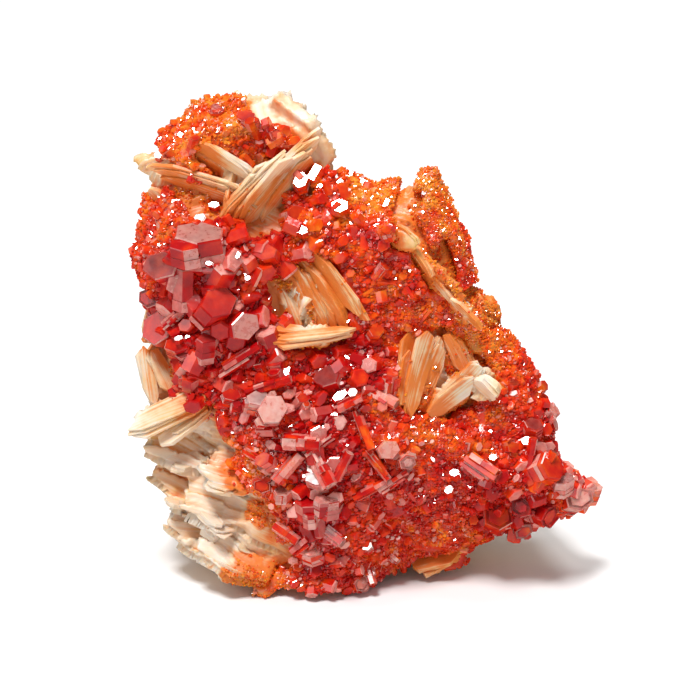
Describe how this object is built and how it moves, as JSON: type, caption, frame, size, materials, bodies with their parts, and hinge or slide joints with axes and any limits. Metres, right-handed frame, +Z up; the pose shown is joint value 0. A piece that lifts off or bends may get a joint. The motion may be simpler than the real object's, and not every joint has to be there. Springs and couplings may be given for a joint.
{
  "type": "vanadinite on matrix",
  "caption": "Hand specimen that stands on its broken base: crusts of red hexagonal vanadinite crystals over a wedge of bladed cream barite.",
  "frame": {"origin": "middle of the specimen's footprint box, on the surface it stands on", "axes": "+Z up; -Y towards the show face, which leans back from it; +X to the right of the show face"},
  "size_m": [0.0604, 0.0305, 0.0612],
  "materials": {
    "barite": "dull pearly cream mineral, stained orange near the crusts",
    "vanadinite": "bright resinous red mineral, translucent at the edges"
  },
  "bodies": {
    "root": {"barite_matrix": "barite", "vanadinite_crust": "vanadinite", "vanadinite_crown_crust": "vanadinite", "vanadinite_shoulder_crust": "vanadinite"}
  },
  "joints": []
}
